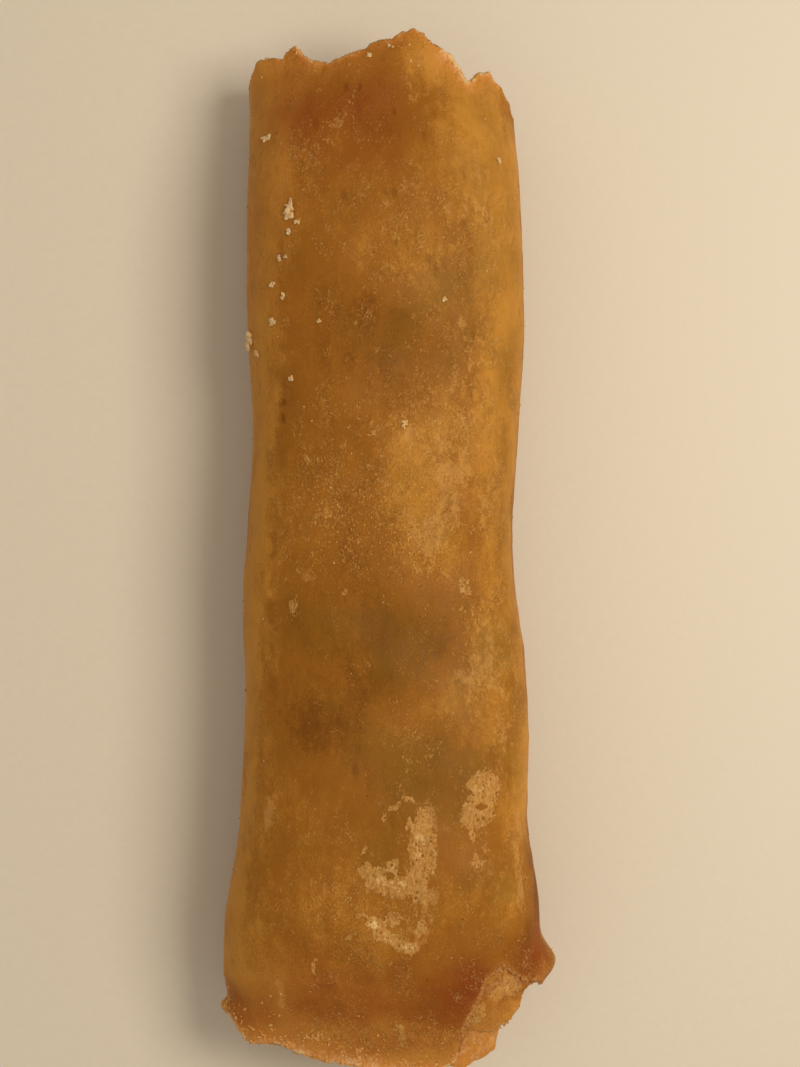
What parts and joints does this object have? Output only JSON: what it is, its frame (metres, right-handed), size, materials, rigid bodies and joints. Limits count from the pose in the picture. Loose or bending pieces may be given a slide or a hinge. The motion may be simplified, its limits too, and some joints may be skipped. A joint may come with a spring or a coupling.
{
  "type": "fried spring roll",
  "caption": "Large deep-fried spring roll with an oval section, ragged broken wrapper lips at both ends and a long seam low on one side.",
  "frame": {"origin": "centre of the bounding box in X and Y, on the surface that the roll lies on", "axes": "+Y along the roll, towards the end without the torn corner; +Z up, out of the broad face that shows; +X to the right when seen from above with +Y up"},
  "size_m": [0.0448, 0.1382, 0.0251],
  "materials": {
    "fried_wrapper": "oily fried wheat wrapper, golden brown with dark and pale dry patches"
  },
  "bodies": {
    "root": {"roll": "fried_wrapper"}
  },
  "joints": []
}
